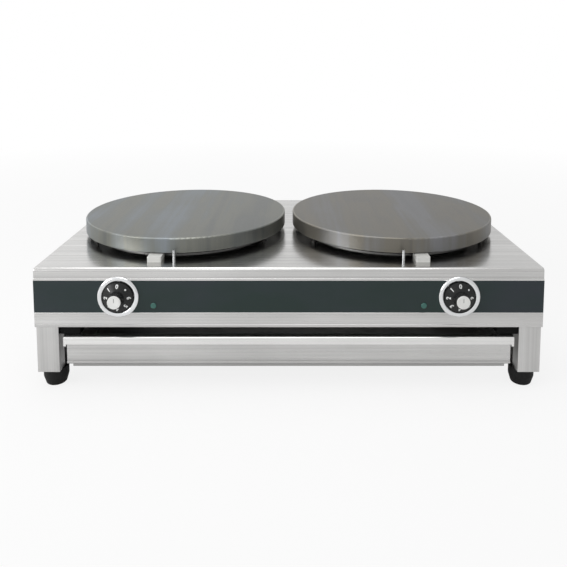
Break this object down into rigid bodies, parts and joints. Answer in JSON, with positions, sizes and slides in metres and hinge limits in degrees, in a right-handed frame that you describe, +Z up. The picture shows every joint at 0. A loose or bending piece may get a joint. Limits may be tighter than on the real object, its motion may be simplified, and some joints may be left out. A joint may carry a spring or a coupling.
{
  "type": "electric crepe maker",
  "caption": "Countertop electric crepe maker: round griddle plates side by side on a stainless casing with dial controls, folded legs on rubber feet and a sliding drawer below.",
  "frame": {"origin": "middle of the footprint box, on the plane that the rubber feet stand on", "axes": "+X to the right seen from the front, the controls face -Y, +Z up"},
  "size_m": [0.856, 0.537, 0.249],
  "materials": {
    "brushed_steel": "satin brushed",
    "panel_gloss": "high gloss, near black",
    "zinc_steel": "bright zinc",
    "white_ceramic": "glazed white ceramic",
    "black_plastic": "matt",
    "lead_insulation": "silicone covered",
    "black_rubber": "matt rubber",
    "cast_plate": "machined grey, seasoned",
    "element_sheath": "oxidised sheath",
    "mineral_wool": "mineral wool felt",
    "sensor_steel": "bare drawn tube",
    "chrome": "bright chrome",
    "dial_black": "moulded black",
    "cap_white": "pale satin",
    "green_lens": "clear green, unlit"
  },
  "bodies": {
    "casing": {"base_pan": "brushed_steel", "bezel_ring_left": "chrome", "bezel_ring_right": "chrome", "ceramic_guide_left": "white_ceramic", "ceramic_guide_right": "white_ceramic", "clamp_screws": "zinc_steel", "control_panel": "panel_gloss", "cord_gland": "black_plastic", "cover_screws": "zinc_steel", "drawer_rail_left": "zinc_steel", "drawer_rail_right": "zinc_steel", "element_clamp_left": "zinc_steel", "element_clamp_right": "zinc_steel", "foot_front_left": "black_rubber", "foot_front_right": "black_rubber", "foot_rear_left": "black_rubber", "foot_rear_right": "black_rubber", "foot_studs": "zinc_steel", "front_panel": "brushed_steel", "griddle_plate_left": "cast_plate", "griddle_plate_right": "cast_plate", "heating_element_left": "element_sheath", "heating_element_right": "element_sheath", "lamp_body_left": "black_plastic", "lamp_body_right": "black_plastic", "lamp_lens_left": "green_lens", "lamp_lens_right": "green_lens", "leads_left": "lead_insulation", "leads_right": "lead_insulation", "leg_bolts": "zinc_steel", "leg_front_left": "brushed_steel", "leg_front_right": "brushed_steel", "leg_rear_left": "brushed_steel", "leg_rear_right": "brushed_steel", "mains_leads": "lead_insulation", "plate_posts_left": "zinc_steel", "plate_posts_right": "zinc_steel", "rear_panel": "brushed_steel", "reflector_pan_left": "brushed_steel", "reflector_pan_right": "brushed_steel", "sensor_left": "sensor_steel", "sensor_right": "sensor_steel", "stop_pin_left": "zinc_steel", "stop_pin_right": "zinc_steel", "terminal_block": "white_ceramic", "thermostat_left": "black_plastic", "thermostat_right": "black_plastic", "top_cover": "brushed_steel", "wool_pad_left": "mineral_wool", "wool_pad_right": "mineral_wool"},
    "knob_left": {"dial_left": "dial_black", "knob_cap_left": "cap_white", "knob_shaft_left": "zinc_steel"},
    "knob_right": {"dial_right": "dial_black", "knob_cap_right": "cap_white", "knob_shaft_right": "zinc_steel"},
    "drawer": {"drawer_tray": "brushed_steel", "drawer_front": "brushed_steel"}
  },
  "joints": [
    {"name": "knob_left_turn", "type": "hinge", "parent": "casing", "child": "knob_left", "pos_m": [-0.286, -0.2415, 0.163], "axis": [0, 1, 0], "range_deg": [0, 270]},
    {"name": "knob_right_turn", "type": "hinge", "parent": "casing", "child": "knob_right", "pos_m": [0.286, -0.2415, 0.163], "axis": [0, 1, 0], "range_deg": [0, 270]},
    {"name": "drawer_slide", "type": "slide", "parent": "casing", "child": "drawer", "axis": [0, -1, 0], "range_m": [0, 0.34]}
  ]
}
